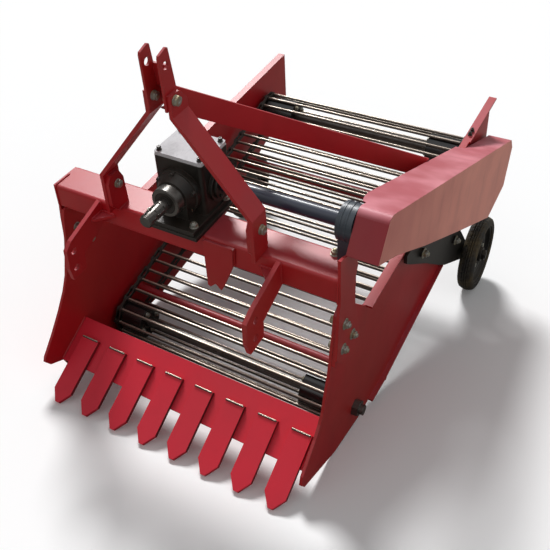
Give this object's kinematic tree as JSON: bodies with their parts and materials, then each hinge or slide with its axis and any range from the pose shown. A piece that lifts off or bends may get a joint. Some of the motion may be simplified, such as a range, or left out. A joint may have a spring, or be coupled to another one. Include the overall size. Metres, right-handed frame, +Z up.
{
  "type": "potato harvester",
  "caption": "Tractor-mounted potato lifter: digging blades in front of a rising rod conveyor between side walls, with hitch mast, gearbox, guarded chain drive and small rear wheels.",
  "frame": {"origin": "on the floor at the middle of the machine's footprint box, midway between the side walls", "axes": "+X across the machine towards the chain guard, +Y to the rear, +Z up; the tractor stands on the -Y side"},
  "size_m": [1.028, 1.4778, 1.119],
  "materials": {
    "red_paint": "satin crimson enamel",
    "guard_paint": "satin crimson enamel on folded sheet",
    "blade_steel": "crimson enamel over spring steel",
    "black_paint": "black enamel",
    "cast_iron": "oily dark cast iron",
    "cover_metal": "smooth light grey lid",
    "bright_steel": "ground bright steel",
    "rod_steel": "bright drawn rod",
    "shaft_black": "gloss blue-black",
    "bearing_grey": "blue-grey enamelled casting",
    "zinc": "zinc plate",
    "chain_black": "black belt and chain",
    "drum_black": "gloss black roller",
    "tyre": "dusty black rubber"
  },
  "bodies": {
    "frame": {"beam_end_plates": "red_paint", "carrier_rollers": "drum_black", "centre_bracket": "red_paint", "chain_guard": "guard_paint", "cross_bars": "red_paint", "drive_chain": "chain_black", "drive_sprocket": "bright_steel", "driven_sprocket": "bright_steel", "front_beam": "red_paint", "gearbox_cap": "cast_iron", "gearbox_cover": "cover_metal", "gearbox_housing": "cast_iron", "gearbox_mount": "cast_iron", "guard_brackets": "red_paint", "hitch_bracket_left": "red_paint", "hitch_bracket_right": "red_paint", "hitch_gussets": "red_paint", "mast_bolts": "zinc", "mast_bracket": "red_paint", "mast_leg_left": "red_paint", "mast_leg_right": "red_paint", "mast_lugs": "red_paint", "mast_stay": "red_paint", "rear_bearings": "bearing_grey", "shaft_bearing": "bearing_grey", "share_blades": "blade_steel", "share_plate": "blade_steel", "side_wall_left": "red_paint", "side_wall_right": "red_paint", "stay_foot": "red_paint", "web_chains": "chain_black", "web_drive_shaft": "bright_steel", "web_drums_front": "drum_black", "web_drums_rear": "drum_black", "web_idler_axle": "bright_steel", "web_rods": "rod_steel", "wheel_arm_left": "black_paint", "wheel_arm_right": "black_paint", "wheel_axles": "black_paint"},
    "input_shaft": {"pto_shaft": "bright_steel"},
    "cross_drive": {"cross_shaft": "shaft_black"},
    "wheel_left": {"wheel_rim_left": "black_paint", "wheel_tyre_left": "tyre"},
    "wheel_right": {"wheel_rim_right": "black_paint", "wheel_tyre_right": "tyre"}
  },
  "joints": [
    {"name": "input_shaft_spin", "type": "hinge", "parent": "frame", "child": "input_shaft", "pos_m": [-0.026, -0.607, 0.70812], "axis": [0, 0.9781, 0.2079], "continuous": true},
    {"name": "cross_shaft_spin", "type": "hinge", "parent": "frame", "child": "cross_drive", "pos_m": [0, -0.50136, 0.73057], "axis": [1, 0, 0], "continuous": true},
    {"name": "left_wheel_spin", "type": "hinge", "parent": "frame", "child": "wheel_left", "pos_m": [-0.478, 0.58388, 0.139], "axis": [1, 0, 0], "continuous": true},
    {"name": "right_wheel_spin", "type": "hinge", "parent": "frame", "child": "wheel_right", "pos_m": [0.478, 0.58388, 0.139], "axis": [1, 0, 0], "continuous": true}
  ],
  "couplings": [
    {"joint": "input_shaft_spin", "follows": "cross_shaft_spin", "ratio": 1}
  ]
}
